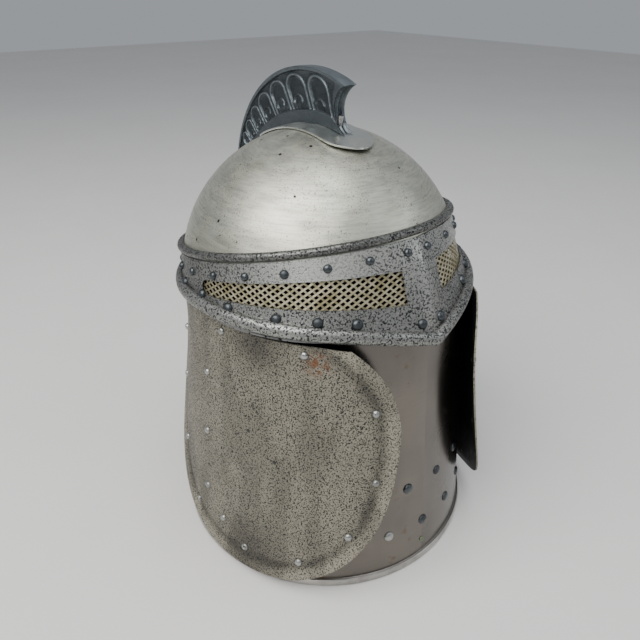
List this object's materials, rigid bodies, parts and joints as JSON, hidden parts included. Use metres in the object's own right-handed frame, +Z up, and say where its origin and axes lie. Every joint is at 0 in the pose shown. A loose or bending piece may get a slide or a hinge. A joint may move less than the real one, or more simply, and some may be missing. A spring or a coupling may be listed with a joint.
{
  "type": "knight helmet",
  "caption": "Knight helmet in sheet metal: tapering body with round cheek plates, and a domed skull with visor, eye slots in mesh and a cast crest that lifts off.",
  "frame": {"origin": "middle of the base rim, on the surface that the helmet stands on", "axes": "+Z up, the visor looks along -Y, +X is the wearer's left"},
  "size_m": [0.2563, 0.2545, 0.3652],
  "materials": {
    "body_steel": "brushed, worn",
    "rim_steel": "satin",
    "skull_nickel": "brushed, aged and pitted",
    "visor_pewter": "hammered crackle",
    "cheek_crackle": "speckled crackle",
    "rivet_dark": "dark, rubbed",
    "rivet_bright": "rubbed bright",
    "old_brass": "green with age",
    "mesh_brass": "dull",
    "crest_casting": "dark antique",
    "fastener_steel": "zinc plated"
  },
  "bodies": {
    "body": {"body_shell": "body_steel", "base_rim": "rim_steel", "breath_rivets": "rivet_dark", "rim_screw": "old_brass", "cheek_plate_right": "cheek_crackle", "cheek_plate_left": "cheek_crackle", "cheek_rivets_right": "rivet_bright", "cheek_rivets_left": "rivet_bright", "cheek_mount_rivets_right": "rivet_bright", "cheek_mount_rivets_left": "rivet_bright"},
    "skull": {"skull_dome": "skull_nickel", "visor_band": "visor_pewter", "brow_roll": "visor_pewter", "upper_visor_rivets": "rivet_dark", "lower_visor_rivets": "rivet_dark", "eye_mesh_right": "mesh_brass", "eye_mesh_left": "mesh_brass", "seat_ring": "rim_steel", "crest_saddle": "skull_nickel", "crest": "crest_casting", "crest_screws": "fastener_steel", "crest_washers": "fastener_steel"}
  },
  "joints": [
    {"name": "skull_lift", "type": "slide", "parent": "body", "child": "skull", "axis": [0, 0, 1], "range_m": [0, 0.12]}
  ]
}
